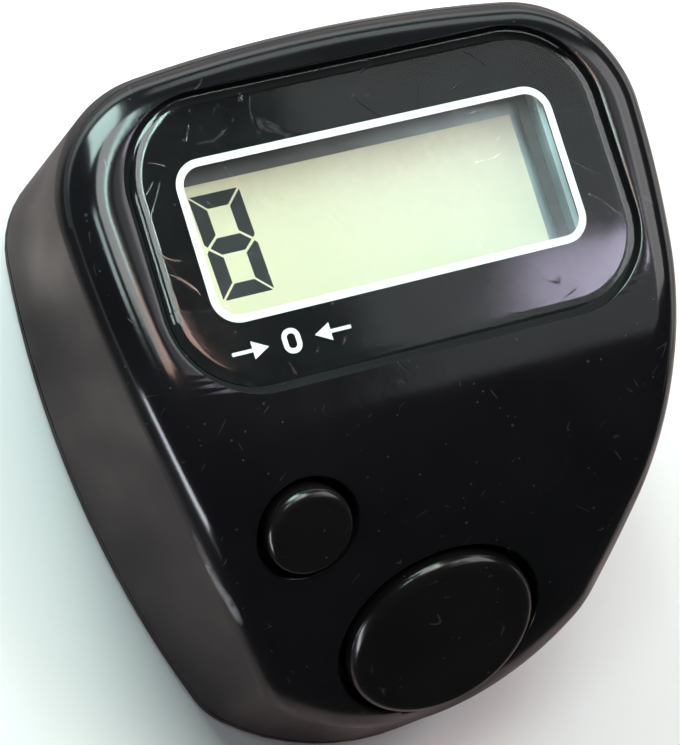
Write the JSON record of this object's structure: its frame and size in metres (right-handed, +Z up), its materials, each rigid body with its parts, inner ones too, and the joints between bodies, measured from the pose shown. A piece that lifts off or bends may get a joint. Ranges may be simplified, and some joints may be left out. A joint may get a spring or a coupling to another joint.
{
  "type": "finger tally counter",
  "caption": "Small black finger counter: deep case with an arched face, clear panel over a liquid crystal window, a large round count key and a small reset key, coin slot battery door.",
  "frame": {"origin": "middle of the footprint on the resting plane", "axes": "+Z up out of the flat back, +Y from the tip with the count key to the display end, +X to the right when the face is read with the display end up"},
  "size_m": [0.031, 0.0359, 0.0205],
  "materials": {
    "case_plastic": "gloss, lightly scratched",
    "door_plastic": "satin",
    "seal_rubber": "matt",
    "clear_panel": "clear gloss",
    "black_print": "satin print",
    "white_print": "satin print",
    "black_tape": "matt",
    "polarizer_film": "satin film",
    "display_glass": "clear",
    "display_ink": "matt",
    "display_seal": "satin",
    "reflector_film": "satin, slightly pearly",
    "holder_plastic": "satin",
    "contact_rubber": "matt",
    "board_laminate": "satin solder mask",
    "epoxy": "gloss",
    "tinned_metal": "bright",
    "ceramic_chip": "satin",
    "screw_steel": "bright plated",
    "frame_plastic": "satin",
    "key_plastic": "satin",
    "plunger_plastic": "satin",
    "switch_plastic": "satin",
    "red_wire": "satin sleeve",
    "yellow_wire": "satin sleeve",
    "black_wire": "satin sleeve",
    "cell_metal": "satin nickel",
    "gasket_plastic": "matt",
    "contact_brass": "plated spring metal"
  },
  "bodies": {
    "case": {"top_shell": "case_plastic", "back_cover": "case_plastic", "lens_panel": "clear_panel", "lens_mask": "black_print", "window_border": "white_print", "reset_sign": "white_print", "lens_tape": "black_tape", "lcd_front_polarizer": "polarizer_film", "lcd_front_glass": "display_glass", "lcd_segments": "display_ink", "lcd_seal": "display_seal", "lcd_rear_glass": "display_glass", "lcd_reflector": "reflector_film", "lcd_holder": "holder_plastic", "zebra_strip": "contact_rubber", "main_board": "board_laminate", "chip_blob": "epoxy", "crystal_can": "tinned_metal", "board_capacitors": "ceramic_chip", "board_resistors": "epoxy", "board_screws": "screw_steel", "key_frame": "frame_plastic", "key_screws": "screw_steel", "count_switch_cover": "tinned_metal", "count_switch_base": "switch_plastic", "count_snap_disc": "tinned_metal", "count_leads": "tinned_metal", "count_board": "board_laminate", "reset_switch_cover": "tinned_metal", "reset_switch_base": "switch_plastic", "reset_snap_disc": "tinned_metal", "reset_leads": "tinned_metal", "reset_board": "board_laminate", "count_wires": "red_wire", "reset_wires": "yellow_wire", "plus_wire": "red_wire", "minus_wire": "black_wire", "cell_can": "cell_metal", "cell_gasket": "gasket_plastic", "cell_cap": "cell_metal", "plus_contact": "contact_brass", "minus_contact": "contact_brass", "case_screws": "screw_steel"},
    "count_key": {"count_button": "key_plastic", "count_plunger": "plunger_plastic"},
    "reset_key": {"reset_button": "key_plastic", "reset_plunger": "plunger_plastic"},
    "door": {"battery_door": "door_plastic", "door_seal": "seal_rubber"}
  },
  "joints": [
    {"name": "count_press", "type": "slide", "parent": "case", "child": "count_key", "axis": [0, 0.682, -0.7314], "range_m": [0, 0.0006], "stiffness_N_per_m": 1500},
    {"name": "reset_press", "type": "slide", "parent": "case", "child": "reset_key", "axis": [0, 0.4695, -0.8829], "range_m": [0, 0.0005], "stiffness_N_per_m": 1500},
    {"name": "door_turn", "type": "hinge", "parent": "case", "child": "door", "pos_m": [0, 0.004, 0], "axis": [0, 0, 1], "range_deg": [0, 60]}
  ]
}
